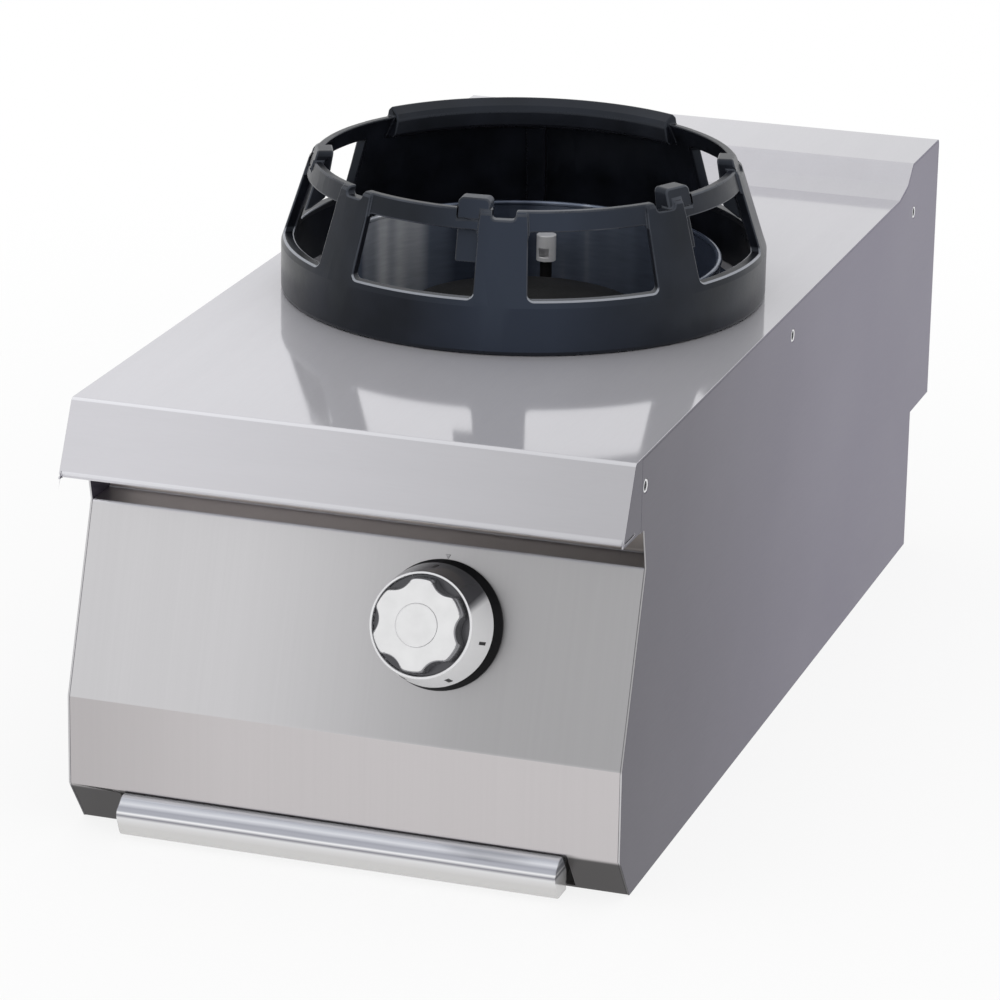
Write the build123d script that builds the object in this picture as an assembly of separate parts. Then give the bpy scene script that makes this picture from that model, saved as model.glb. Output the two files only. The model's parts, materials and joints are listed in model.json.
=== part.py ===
from build123d import *
import os
from math import cos, radians, sin

os.makedirs("parts", exist_ok=True)

# Gas wok range, counter-top module. Millimetres, +Z up, +X to the operator's right, front towards -Y.
# The origin is the centre of the footprint at floor level.

# housing
width = 400.0
overall_depth = 891.64           # rear face to the lowest lobe of the knob
gauge = 1.5                      # stainless sheet
bend = 4.0                       # outer radius of the worktop's folds
small_bend = 2.4
worktop_top = 310.0
upstand_top = 330.0
rear = overall_depth / 2
half = width / 2
inner_half = half - gauge


def at(back, up):
    """Side-view point: distance in front of the rear face, height above the floor."""
    return (rear - back, up)


front_edge = at(845, worktop_top)
nose = at(870, 259)
recess = at(815, 228)
panel_bend = at(859, 98)
skirt_foot = at(859, 34)
toe = at(834, 0)
heel = at(60, 0)
step_inner = at(60, 114)
step_outer = at(0, 114)
upstand_rear = at(0, upstand_top)
upstand_crease = at(88, upstand_top)
upstand_slope = at(104, 316)
upstand_foot = at(130, worktop_top)
recess_back = 785.0
back_inset = 3.5                 # upper back panel, so that its screw heads stay inside the depth
screw_spots = [(x, z) for z in (140, 272) for x in (-170, -60, 60, 170)]
cap_seam = 830.0                 # where the fascia's end cap meets the side panel
flange = 21.5

# burner and wok ring share one vertical axis
burner_y = rear - 475
bowl_r = 144.5
bowl_wall = 1.5
bowl_floor = 250.0
bowl_rise = 27.5                 # rolled rim above the worktop
bowl_opening = 100.0
pot_r = 88.0
pot_floor = 212.0
pot_top = 272.0
crown_top = 290.0
cap_top = 303.0
port_count = 28
pilot_spot = (-19.0, burner_y + 114)
probe_spot = (2.0, burner_y + 117)
tube_z = 231.0
tube_r = 15.0

# wok ring casting
ring_base_r = 178.0
ring_top_r = 157.0
ring_wall = 8.0
ring_height = 99.0
band_height = 35.0
window_low = 40.0
window_high = 85.0
pillar_angles = (-77.0, -32.0, 12.7, 57.2, 102.0)
pillar_half = 6.4                # half of a pillar's width, in degrees
guard_wall = (144.0, 249.5)      # where the unbroken wall at the back starts and ends
strip_recess = 2.0               # the rim between two pillars stands back from their faces
lug_angles = (-66.3, 4.7, 62.8, 101.0)
lug_width = 23.5
lug_rise = 7.5
lug_depth = 16.5
lug_fin = 62.0                   # foot of the fin inside the wall that carries a lug
notch_size = (17.0, 30.0, 11.6)
lip_arc = (150.0, 241.5)
lip_rise = 7.0
lip_foot = 84.0
lip_slant = 8.0                  # how far the raised lip's slanting ends draw in at the top
rib_angle = 195.0
rib_size = (14.5, 8.0)

# knob, on an axis square to the sloping panel
panel_slope = Vector(0, panel_bend[0] - recess[0], panel_bend[1] - recess[1]).normalized()
panel_out = Vector(0, panel_slope.Z, -panel_slope.Y)
knob_x = 62.0
knob_down = 55.0                 # along the panel from its top fold
knob_face = 52.0
knob_r = 31.3
lobes = 6
dial_r = 42.0
rim_r = 36.4
collar_r = 44.4
dial_base = 14.0
dial_top = 42.0
spindle_r = 4.0
push_travel = 4.0
running = 0.05                   # radial clearance of the turning and sliding fits

# drip tray
tray_half = 155.0
tray_low = 4.8
tray_high = 29.0
tray_wall = 1.0
tray_front = 846.0
tray_back = 280.0
handle_half = 159.0
rail_gap = 2.0
slot_half = 162.0

# gas pipes
pipe_r = 7.0
feed_r = 5.0
pilot_pipe_r = 2.0
lead_r = 1.2
inlet_x = 165.0
inlet_z = 62.0
inlet_r = 10.5
nut_reach = 371.0                # spacing of the side joining threads
nut_z = 288.0


def polygon(points):
    return make_face(Polyline(*points, close=True))


def sheet(points, radius, across=inner_half, thick=gauge):
    """Sheet folded along a side-view line, the metal lying left of the direction of travel."""
    line = FilletPolyline(*points, radius=radius)
    skin = make_face(offset(line, thick, side=Side.LEFT))
    return extrude(Plane.YZ * skin, across, both=True)


def slab(x_range, y_range, z_range):
    size = [b - a for a, b in (x_range, y_range, z_range)]
    mid = [(a + b) / 2 for a, b in (x_range, y_range, z_range)]
    return Pos(*mid) * Box(*size)


def turned(points, centre=(0, 0)):
    """Solid of revolution from (radius, height) points, on a vertical axis."""
    return Pos(*centre, 0) * revolve(Plane.XZ * polygon(points), Axis.Z)


def pipe(points, outer, radius, bore=0.0):
    line = FilletPolyline(*points, radius=radius)
    ring = Circle(outer) - Circle(bore) if bore else Circle(outer)
    return sweep(Plane(origin=line @ 0, z_dir=line % 0) * ring, path=line)


def mirrored(solid):
    return mirror(solid, about=Plane.YZ)


knob_origin = Vector(knob_x, recess[0], recess[1]) + panel_slope * knob_down
knob_frame = Plane(origin=knob_origin, x_dir=(1, 0, 0), z_dir=panel_out)
valve_centre = knob_origin - panel_out * 48


def on_knob(solid):
    return knob_frame.location * solid


# ---------------------------------------------------------------- housing

def worktop():
    """One folded sheet: rear upstand, cooking surface, sloping fascia and its return."""
    line = [at(0, 300), upstand_rear, upstand_crease, upstand_slope, upstand_foot, front_edge, nose,
            at(recess_back, 257)]
    top = sheet(line, bend, across=half)
    cap = [at(cap_seam, worktop_top), front_edge, nose, at(cap_seam, 259)]
    edge = extrude(Plane.YZ * polygon(cap), gauge)
    ends = Pos(inner_half, 0, 0) * edge + Pos(-half, 0, 0) * edge
    rounded = Pos(0, front_edge[0], front_edge[1]) * Box(3 * width, 6, 6)
    ends = ends - (rounded - sheet_core(line))
    slit = slab((inner_half - 0.1, half + 1), (rear - 871, rear - 844), (260.6, 262.2))
    ends = ends - slit - mirrored(slit)
    hole = Pos(0, burner_y, worktop_top) * Cylinder(bowl_r + 0.8, 20)
    relief = slab((inner_half - 0.2, half + 1), (rear - cap_seam - 0.2, rear - recess_back + 1), (250, 259.6))
    return top + ends - hole - relief - mirrored(relief)


def sheet_core(line):
    """Everything enclosed by the worktop's outer line, for trimming its end caps."""
    outer = FilletPolyline(*line, radius=bend)
    face = make_face(Curve() + [outer, Line(outer @ 1, outer @ 0)])
    return extrude(Plane.YZ * face, half, both=True)


def side_panel():
    outline = [at(cap_seam, worktop_top), upstand_foot, upstand_slope, upstand_crease, upstand_rear,
               step_outer, step_inner, heel, toe, skirt_foot, panel_bend, recess, at(822, 257),
               at(cap_seam, 257)]
    plate = Pos(inner_half, 0, 0) * extrude(Plane.YZ * polygon(outline), gauge)
    foot = slab((half - flange, half), (rear - 808, rear - 90), (0, gauge))
    ledge_top = worktop_top - gauge
    ledge = slab((half - flange, half), (rear - 775, rear - 160), (ledge_top - gauge, ledge_top))
    plate = (plate + foot + ledge - top_sheet).solids().sort_by(SortBy.VOLUME)[-1]
    for k in (-1, 0, 1):
        plate -= Pos(half, rear - 451 + k * nut_reach, nut_z) * Rot(0, 90, 0) * Cylinder(5.0, 30)
    return plate


def control_panel():
    line = [at(recess_back, 256.8), at(recess_back, 228), recess, panel_bend, skirt_foot, toe, at(812, 0)]
    panel = sheet(line, small_bend)
    slot = slab((-slot_half, slot_half), (rear - 900, rear - 822), (2.6, 33.2))
    return panel - slot - on_knob(Cylinder(7.5, 12))


def back_panel():
    """Stepped back with vent slots above the step and the gas hole below it."""
    line = [at(85, 0), heel, step_inner, at(back_inset, 114), at(back_inset, 312)]
    panel = sheet(line, small_bend)
    slots = [Pos(0, rear, z) * Rot(90, 0, 0) * extrude(SlotOverall(60, 6, rotation=0), 12, both=True)
             for z in (170, 188, 206, 224, 242)]
    for x in (-110, 0, 110):
        for slot in slots:
            panel -= Pos(x, 0, 0) * slot
    for x, z in screw_spots:
        panel -= Pos(x, rear, z) * Rot(90, 0, 0) * Cylinder(2.2, 20)
    hole = Pos(inlet_x, rear - 60, inlet_z) * Rot(90, 0, 0) * Cylinder(inlet_r + 1, 20)
    return panel - hole


def base_plate():
    reach = inner_half - 4
    return slab((-reach, reach), (rear - 806, rear - 64), (gauge, 2 * gauge))


def support_beam(y):
    """Channel across the housing under the burner, with a tab at each end."""
    reach = inner_half
    outer = slab((-reach, reach), (y - 15, y + 15), (pot_floor - 20, pot_floor))
    core = slab((-reach - 1, reach + 1), (y - 13, y + 13), (pot_floor - 21, pot_floor - 2))
    tab = slab((reach - 2, reach), (y - 15, y + 15), (pot_floor - 45, pot_floor - 19))
    return outer - core + tab + mirrored(tab)


def tray_rail():
    """Runner on the right: foot, web, running lip and the lip that keeps the tray from tipping."""
    web = tray_half + rail_gap
    top = tray_high + 1
    section = [(web + 18, 3), (web - 15, 3), (web - 15, 4.5), (web, 4.5), (web, top), (web - 9, top),
               (web - 9, top + 1.5), (web + 1.5, top + 1.5), (web + 1.5, 4.5), (web + 18, 4.5)]
    length = 830 - 180
    rail = extrude(Plane.XZ * polygon(section), length / 2, both=True)
    return Pos(0, rear - 180 - length / 2, 0) * rail


def joining_nuts():
    """Three threaded inserts along the right side, where a neighbouring module bolts on."""
    insert = Rot(0, 90, 0) * (Cylinder(5.0, 12) - Cylinder(3.4, 12))
    return Compound([Pos(inner_half - 6, rear - 451 + k * nut_reach, nut_z) * insert for k in (-1, 0, 1)])


def back_screws():
    head = extrude(RegularPolygon(4.0, 6), 3)
    screw = head + Pos(0, 0, -5) * Cylinder(2.0, 10)
    places = [Plane((x, rear - back_inset, z), z_dir=(0, 1, 0)).location for x, z in screw_spots]
    return Compound([place * screw for place in places])


# ---------------------------------------------------------------- burner

def burner_bowl():
    """Drawn liner dropped through the worktop, hung on a collar, with a rolled rim."""
    inner = bowl_r - bowl_wall
    rim_z = worktop_top + bowl_rise
    mid = bowl_r - bowl_wall / 2
    return turned([(inner, bowl_floor), (bowl_r, bowl_floor), (bowl_r, worktop_top),
                   (bowl_r + 15, worktop_top), (bowl_r + 15, worktop_top + gauge),
                   (bowl_r, worktop_top + gauge), (bowl_r, rim_z - 3.6), (mid + 2, rim_z - 2.6),
                   (mid + 2, rim_z - 1), (mid + 0.9, rim_z), (mid - 0.9, rim_z), (mid - 2, rim_z - 1),
                   (mid - 2, rim_z - 2.6), (inner, rim_z - 3.6)], (0, burner_y))


def bowl_base():
    """Floor of the bowl, with an upturned lip round the burner and holes for pilot and probe."""
    floor = turned([(bowl_opening, bowl_floor), (bowl_r - bowl_wall, bowl_floor),
                    (bowl_r - bowl_wall, bowl_floor + gauge), (bowl_opening + gauge, bowl_floor + gauge),
                    (bowl_opening + gauge, bowl_floor + 9), (bowl_opening, bowl_floor + 9)], (0, burner_y))
    hole = Pos(0, 0, bowl_floor) * Cylinder(6.0, 8)
    return floor - Pos(*pilot_spot, 0) * hole - Pos(*probe_spot, 0) * hole


def burner_pot():
    """Cast burner body: a round chamber, with the mixing tube's socket in its front."""
    wall = 5.0
    body = Pos(0, burner_y, (pot_floor + pot_top) / 2) * Cylinder(pot_r, pot_top - pot_floor)
    chamber = Pos(0, burner_y, (pot_floor + pot_top) / 2 + wall) * Cylinder(pot_r - wall, pot_top - pot_floor)
    boss = Pos(0, burner_y - pot_r - 9, tube_z) * Rot(90, 0, 0) * Cylinder(tube_r + 3.5, 30)
    socket = Pos(0, burner_y - pot_r, tube_z) * Rot(90, 0, 0) * Cylinder(tube_r + 0.2, 60)
    return body + boss - chamber - socket


def mixing_tube():
    """Venturi tube: flared mouth, throat, and a straight run into the side of the burner."""
    length = 738 - 475 - pot_r + 2
    profile = [(19.4, 0), (22, 0), (15.4, 26), (13.5, 60), (tube_r, 120), (tube_r, length),
               (tube_r - 3, length), (tube_r - 3, 120), (10.5, 60), (12.8, 26)]
    return Pos(0, rear - 738, tube_z) * Rot(-90, 0, 0) * turned(profile)


def burner_crown():
    inner = 70.0
    ring = turned([(inner, pot_top - 6), (pot_r - 5.4, pot_top - 6), (pot_r - 5.4, pot_top), (pot_r, pot_top),
                   (pot_r, crown_top), (inner, crown_top)])
    port = Pos((inner + pot_r) / 2, 0, crown_top - 4) * Box(40, 2.6, 8.2)
    for k in range(port_count):
        ring -= Rot(0, 0, 360 / port_count * k) * port
    return Pos(0, burner_y, 0) * ring


def burner_cap():
    brim = pot_r - 2
    rise = cap_top - crown_top - 4
    dome_r = (brim**2 + rise**2) / (2 * rise)
    plug = turned([(0, crown_top - 5), (69, crown_top - 5), (69, crown_top), (brim, crown_top),
                   (brim, cap_top), (0, cap_top)], (0, burner_y))
    return plug & Pos(0, burner_y, cap_top - dome_r) * Sphere(dome_r)


def pilot_bracket():
    plate = slab((-34, 10), (burner_y + 107, burner_y + 124), (bowl_floor + gauge, bowl_floor + 2 * gauge))
    for spot in (pilot_spot, probe_spot):
        plate -= Pos(*spot, bowl_floor) * Cylinder(4.6, 10)
    return plate


def pilot_burner():
    """Tube through the bowl floor with a hood that throws its flame at the crown."""
    stem = Pos(*pilot_spot, 268) * Cylinder(4.5, 64)
    hood = Pos(*pilot_spot, 309) * (Cylinder(7.5, 20) - Cylinder(6.3, 16))
    window = Pos(pilot_spot[0], pilot_spot[1] - 8, 306) * Box(8, 8, 7)
    return stem + hood - window


def thermocouple():
    return Pos(*probe_spot, 262) * Cylinder(3, 36) + Pos(*probe_spot, 248) * Cylinder(4.5, 8)


# ---------------------------------------------------------------- gas train

def gas_valve():
    """Tap housing on the knob axis: bonnet bore, plug chamber, inlet, outlet and pilot ports."""
    profile = [(spindle_r + running, -8), (8, -8), (8, -16), (13, -16), (13, -24), (17, -24), (17, -72),
               (6, -72), (6, -78), (0, -78), (0, -64), (10, -64), (10, -30), (spindle_r + running, -30)]
    housing = revolve(Plane.XZ * polygon(profile), Axis.Z)
    side = Rot(0, 90, 0) * Cylinder(9, 20)
    ports = Pos(24, 0, -48) * side + Pos(-24, 0, -48) * side
    pilot = Pos(-22, 0, -32) * Rot(0, 90, 0) * Cylinder(4, 14)
    return on_knob(housing + ports + pilot)


def d_rod(radius, flat, low, high):
    rod = Pos(0, 0, (low + high) / 2) * Cylinder(radius, high - low)
    return rod - Pos(0, flat + radius, (low + high) / 2) * Box(3 * radius, 2 * radius, high - low + 2)


def valve_plug():
    plug = Pos(0, 0, -48) * Cylinder(10 - running, 30)
    return on_knob(plug - d_rod(spindle_r + running, 3 + running, -56, -30))


def valve_spindle():
    upper = Pos(0, 0, 5) * Cylinder(spindle_r, 66)
    keyed = d_rod(spindle_r, 3, -46, -28)
    crown = d_rod(spindle_r, 3, 38, 47)
    return on_knob(upper + keyed + crown)


def supply_pipe():
    x, y, z = valve_centre
    line = [(x + 34, y, z), (inlet_x, y, z), (inlet_x, rear - 170, z), (inlet_x, rear - 120, inlet_z),
            (inlet_x, rear - 78, inlet_z)]
    return pipe(line, pipe_r, 20)


def gas_inlet():
    """Threaded nipple through the lower back, with a plain neck and a shoulder inside."""
    thread = Pos(inlet_x, rear - 43, inlet_z) * Rot(90, 0, 0) * Cylinder(inlet_r, 22)
    neck = Pos(inlet_x, rear - 66, inlet_z) * Rot(90, 0, 0) * Cylinder(inlet_r - 0.5, 24)
    shoulder = extrude(Plane((inlet_x, rear - 61.6, inlet_z), z_dir=(0, -1, 0)) * RegularPolygon(15, 6), 8)
    bore = Pos(inlet_x, rear - 55, inlet_z) * Rot(90, 0, 0) * Cylinder(7.5, 60)
    return thread + neck + shoulder - bore


def inlet_nut():
    section = RegularPolygon(15.5, 6) - Circle(inlet_r - 0.5)
    ring = Plane((inlet_x, rear - 60, inlet_z), z_dir=(0, 1, 0)) * section
    return extrude(ring, 6)


def feed_pipe():
    x, y, z = valve_centre
    riser = rear - 766
    line = [(x - 34, y, z), (0, y, z), (0, riser, z), (0, riser, tube_z), (0, rear - 752, tube_z)]
    return pipe(line, feed_r, 9)


def injector_holder():
    body = Pos(0, rear - 745, tube_z) * Rot(90, 0, 0) * Cylinder(9, 14)
    return body - Pos(0, rear - 738, tube_z) * Rot(90, 0, 0) * Cylinder(4, 6)


def injector():
    """Brass jet: hexagon, and a cone pointing into the mixing tube's mouth."""
    thread = Pos(0, rear - 739.5, tube_z) * Rot(90, 0, 0) * Cylinder(4, 3)
    head = extrude(Plane((0, rear - 738, tube_z), z_dir=(0, 1, 0)) * RegularPolygon(6, 6), 5)
    tip = Pos(0, rear - 730.5, tube_z) * Rot(-90, 0, 0) * Cone(4, 2, 5)
    return thread + head + tip


def pilot_pipe():
    end = valve_centre + panel_out * 16
    x, y = pilot_spot
    line = [(end.X - 29, end.Y, end.Z), (-60, end.Y, end.Z), (-60, y, end.Z), (x, y, end.Z), (x, y, 236)]
    return pipe(line, pilot_pipe_r, 12)


def thermocouple_lead():
    end = knob_origin - panel_out * 78
    x, y = probe_spot
    line = [end, end - panel_out * 30, (-40, rear - 690, 118), (-40, y - 60, 118), (x, y, 150), (x, y, 244)]
    return pipe(line, lead_r, 14)


# ---------------------------------------------------------------- knob

def knob_collar():
    """Black collar on the panel that the knob sinks towards when it is pushed."""
    top = dial_base - push_travel - 0.5
    profile = [(12, 0), (collar_r, 0), (collar_r, 1.5), (collar_r - 3.6, top), (38.4, top), (41.6, 2.4),
               (12, 2.4)]
    return on_knob(revolve(Plane.XZ * polygon(profile), Axis.Z))


def knob_dial():
    """Conical skirt that carries the marks and turns with the handle."""
    profile = [(9.2, 37), (rim_r - 2.6, 37), (dial_r - 2, dial_base), (dial_r, dial_base),
               (rim_r, dial_top - 1.5), (rim_r - 0.6, dial_top + 1), (rim_r - 2.2, dial_top + 1),
               (rim_r - 2.6, 40), (9.2, 40)]
    return on_knob(revolve(Plane.XZ * polygon(profile), Axis.Z))


def lobed(radius, height):
    """Outline of the grip: a circle with wide scallops that leave six rounded lobes."""
    outline = Circle(radius)
    for k in range(lobes):
        outline -= Rot(0, 0, 360 / lobes * k) * Pos(radius * 1.28, 0) * Circle(radius * 0.42)
    return Pos(0, 0, height) * fillet(outline.vertices(), 4.5)


def knob_handle():
    """Lobed grip, tapered towards its face, with a shallow dished centre and a keyed hub."""
    grip = loft([lobed(knob_r + 1.4, 40), lobed(knob_r, knob_face)])
    grip = chamfer(grip.faces().sort_by(Axis.Z)[-1].edges(), 0.9)
    dish = Pos(0, 0, knob_face) * Cylinder(14.5, 0.7)
    hub = Pos(0, 0, 30) * Cylinder(9, 20)
    bore = Pos(0, 0, 30) * Cylinder(spindle_r, 20.2)
    socket = d_rod(spindle_r, 3, 39.9, 47)
    return on_knob(grip - dish + hub - bore - socket)


# ---------------------------------------------------------------- drip tray

def tray_pan():
    """Shallow pan with rounded corners and a rim hemmed outwards."""
    length = tray_front - tray_back
    mid = rear - (tray_front + tray_back) / 2
    high = tray_high - tray_low
    block = fillet(Box(2 * tray_half, length, high).edges().filter_by(Axis.Z), 8)
    inner = 2 * (tray_half - tray_wall), length - 2 * tray_wall
    hollow = fillet(Box(*inner, high).edges().filter_by(Axis.Z), 7)
    return Pos(0, mid, tray_low + high / 2) * (block - Pos(0, 0, tray_wall) * hollow)


def tray_handle():
    """Rolled front pull: a round nose over the tray's full width, closed at both ends."""
    line = [at(tray_front, 31.5), at(862, 31.5), at(874, 22.5), at(866, 2.8), at(tray_front, 2.8)]
    outer = FilletPolyline(*line, radius=7)
    face = make_face(Curve() + [outer, Line(outer @ 1, outer @ 0)])
    return extrude(Plane.YZ * face, handle_half, both=True)


# ---------------------------------------------------------------- wok ring

def spoke(angle):
    """Places a piece drawn on the -Y side of the ring at an angle, counter-clockwise from above."""
    return Pos(0, burner_y, worktop_top) * Rot(0, 0, angle)


def bay_block(angle, low, high, half_angle, r_low, r_high):
    """Tapered radial block through the ring's wall, used for windows."""
    near = 2 * r_low * sin(radians(half_angle))
    far = 2 * r_high * sin(radians(half_angle))
    outline = polygon([(-near / 2, low), (near / 2, low), (far / 2, high), (-far / 2, high)])
    outline = fillet(outline.vertices(), 4)
    block = extrude(Plane((0, -130, 0), z_dir=(0, -1, 0), x_dir=(1, 0, 0)) * outline, 60)
    return spoke(angle) * block


def radial_plate(outline, thick):
    """Plate along a radius, drawn on the -Y side of the ring from (radius, height) points."""
    return extrude(Plane.YZ * polygon([(-r, z) for r, z in outline]), thick / 2, both=True)


def lip_end(angle, slant):
    """What is cut off the raised lip so that its end slants."""
    top = ring_height + 11
    outline = polygon([(0, lip_foot - 2), (slant, top), (-slant, top), (-slant, lip_foot - 2)])
    return spoke(angle) * extrude(Plane((0, -130, 0), z_dir=(0, -1, 0), x_dir=(1, 0, 0)) * outline, 40)


def wok_ring():
    """Cast ring: base band, leaning pillars, rim with lugs and notches, and a raised guard at the back."""
    lean = (ring_base_r - ring_top_r) / (ring_height - band_height)
    inner_base = ring_base_r - ring_wall
    inner_top = ring_top_r - ring_wall
    body = turned([(inner_base, 0), (ring_base_r - 1.5, 0), (ring_base_r, 2), (ring_base_r, band_height),
                   (ring_top_r + 2 * lean, ring_height - 2), (ring_top_r - 2, ring_height),
                   (inner_top, ring_height), (inner_base, band_height)])
    low_r = ring_base_r - lean * (window_low - band_height)
    high_r = ring_base_r - lean * (window_high - band_height)
    skin = turned([(high_r + 6 * lean - strip_recess, window_high - 6), (high_r + 9, window_high - 6),
                   (high_r + 9, ring_height + 1), (ring_top_r - lean - strip_recess, ring_height + 1)])
    body = spoke(0) * body
    skin = spoke(0) * skin
    starts = [guard_wall[1] - 360] + [angle + pillar_half for angle in pillar_angles]
    ends = [angle - pillar_half for angle in pillar_angles] + [guard_wall[0]]
    for start, end in zip(starts, ends):
        mid, reach = (start + end) / 2, (end - start) / 2
        body -= bay_block(mid, window_low, window_high, reach, low_r, high_r)
        body -= skin & bay_block(mid, window_high - 6, ring_height + 12, reach, high_r, ring_top_r)
    for angle in pillar_angles:
        notch = Pos(0, -ring_top_r, ring_height) * Box(*notch_size)
        notch = fillet(notch.edges().filter_by(Axis.Y).sort_by(Axis.Z)[:2], 3)
        body -= spoke(angle) * notch
    lug_inner = ring_top_r - lug_depth
    lug_top = ring_height + lug_rise
    fin_foot = inner_base - lean * (lug_fin - band_height)
    lug_face = ring_top_r - strip_recess
    lug_outline = [(lug_face + 7 * lean, ring_height - 7), (lug_face - lug_rise * lean, lug_top),
                   (lug_inner, lug_top), (lug_inner + 6, 72), (fin_foot - 4, lug_fin + 2),
                   (fin_foot + 0.7, lug_fin), (inner_top + 5.5, window_high)]
    for angle in lug_angles:
        lug = radial_plate(lug_outline, lug_width)
        corners = lug.edges().filter_by(Axis.Y).sort_by(Axis.Z)[-2:]
        body += spoke(angle) * fillet(corners, 4)
    crest = ring_height + lip_rise
    section = polygon([(ring_top_r, 92), (ring_top_r + 0.5, crest - 3), (ring_top_r - 2.5, crest),
                       (ring_top_r - 10, crest - 5), (ring_top_r - 13, crest - 9),
                       (ring_top_r - 13, lip_foot + 2), (ring_top_r - 11, lip_foot),
                       (ring_top_r - 3, lip_foot)])
    lip = revolve(Plane.XZ * section, Axis.Z, revolution_arc=lip_arc[1] - lip_arc[0])
    body += spoke(lip_arc[0] - 90) * lip - lip_end(lip_arc[0], lip_slant) - lip_end(lip_arc[1], -lip_slant)
    rib_outline = [(inner_base - rib_size[1], 0), (ring_base_r - 4, 0), (ring_base_r - 4, band_height),
                   (ring_top_r - 4, ring_height), (inner_top - rib_size[1] + 3, ring_height - 2),
                   (inner_base - rib_size[1], band_height)]
    return body + spoke(rib_angle) * radial_plate(rib_outline, rib_size[0])


top_sheet = worktop()
right_side = side_panel()
right_rail = tray_rail()
right_nuts = joining_nuts()

nodes = {
    "worktop": top_sheet,
    "side_panel_right": right_side,
    "side_panel_left": mirrored(right_side),
    "control_panel": control_panel(),
    "back_panel": back_panel(),
    "base_plate": base_plate(),
    "support_beam_front": support_beam(burner_y - 60),
    "support_beam_rear": support_beam(burner_y + 60),
    "tray_rail_right": right_rail,
    "tray_rail_left": mirrored(right_rail),
    "joining_nuts_right": right_nuts,
    "joining_nuts_left": mirrored(right_nuts),
    "back_screws": back_screws(),
    "burner_bowl": burner_bowl(),
    "bowl_base": bowl_base(),
    "burner_pot": burner_pot(),
    "mixing_tube": mixing_tube(),
    "burner_crown": burner_crown(),
    "burner_cap": burner_cap(),
    "pilot_bracket": pilot_bracket(),
    "pilot_burner": pilot_burner(),
    "thermocouple": thermocouple(),
    "gas_valve": gas_valve(),
    "valve_plug": valve_plug(),
    "valve_spindle": valve_spindle(),
    "supply_pipe": supply_pipe(),
    "gas_inlet": gas_inlet(),
    "inlet_nut": inlet_nut(),
    "feed_pipe": feed_pipe(),
    "injector_holder": injector_holder(),
    "injector": injector(),
    "pilot_pipe": pilot_pipe(),
    "thermocouple_lead": thermocouple_lead(),
    "knob_collar": knob_collar(),
    "knob_dial": knob_dial(),
    "knob_handle": knob_handle(),
    "tray_pan": tray_pan(),
    "tray_handle": tray_handle(),
    "wok_ring": wok_ring(),
}

for name, solid in nodes.items():
    export_step(solid, "parts/" + name + ".step")
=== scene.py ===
import json
from math import cos, pi, radians, sin

import bmesh
import bpy
from mathutils import Matrix, Vector


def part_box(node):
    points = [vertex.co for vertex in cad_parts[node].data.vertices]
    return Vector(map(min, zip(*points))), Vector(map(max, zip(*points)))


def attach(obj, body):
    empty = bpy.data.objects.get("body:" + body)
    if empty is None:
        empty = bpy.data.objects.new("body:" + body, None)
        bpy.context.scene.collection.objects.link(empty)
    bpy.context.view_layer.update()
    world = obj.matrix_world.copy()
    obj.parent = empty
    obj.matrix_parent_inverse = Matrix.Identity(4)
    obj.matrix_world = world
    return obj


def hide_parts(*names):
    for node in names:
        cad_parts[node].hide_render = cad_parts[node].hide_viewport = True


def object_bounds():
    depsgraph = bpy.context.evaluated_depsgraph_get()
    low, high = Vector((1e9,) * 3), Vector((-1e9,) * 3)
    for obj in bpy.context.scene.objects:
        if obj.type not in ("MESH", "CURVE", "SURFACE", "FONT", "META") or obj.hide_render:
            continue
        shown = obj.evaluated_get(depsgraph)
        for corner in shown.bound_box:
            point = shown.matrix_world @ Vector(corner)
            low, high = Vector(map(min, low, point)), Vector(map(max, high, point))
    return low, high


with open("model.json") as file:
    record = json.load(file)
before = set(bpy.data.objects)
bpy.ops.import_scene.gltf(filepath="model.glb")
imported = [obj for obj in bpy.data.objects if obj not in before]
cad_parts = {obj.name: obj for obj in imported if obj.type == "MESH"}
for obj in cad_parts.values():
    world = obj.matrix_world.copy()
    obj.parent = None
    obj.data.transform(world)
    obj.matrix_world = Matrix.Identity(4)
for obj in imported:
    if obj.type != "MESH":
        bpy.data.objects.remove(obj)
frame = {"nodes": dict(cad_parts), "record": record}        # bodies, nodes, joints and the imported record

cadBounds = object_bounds()
nodes = frame["nodes"]
record = frame["record"]
scene = bpy.context.scene
bodyOf = {name: body for body, names in record["behaviour"]["bodies"].items() for name in names}
turnJoint = next(joint for joint in record["behaviour"]["joints"] if joint["name"] == "knob_turn")
print("frame loaded,", len(nodes), "nodes")


class Value:
    # one output of a material's node, so that plain Python maths adds the Math nodes
    def __init__(self, finish, socket):
        self.finish = finish
        self.socket = socket

    def math(self, operation, first, second=None):
        sockets = {0: first} if second is None else {0: first, 1: second}
        return self.finish.node("ShaderNodeMath", {"operation": operation}, sockets)

    def __add__(self, other):
        return self.math("ADD", self, other)

    def __sub__(self, other):
        return self.math("SUBTRACT", self, other)

    def __rsub__(self, other):
        return self.math("SUBTRACT", other, self)

    def __mul__(self, other):
        return self.math("MULTIPLY", self, other)

    __radd__ = __add__
    __rmul__ = __mul__


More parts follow.
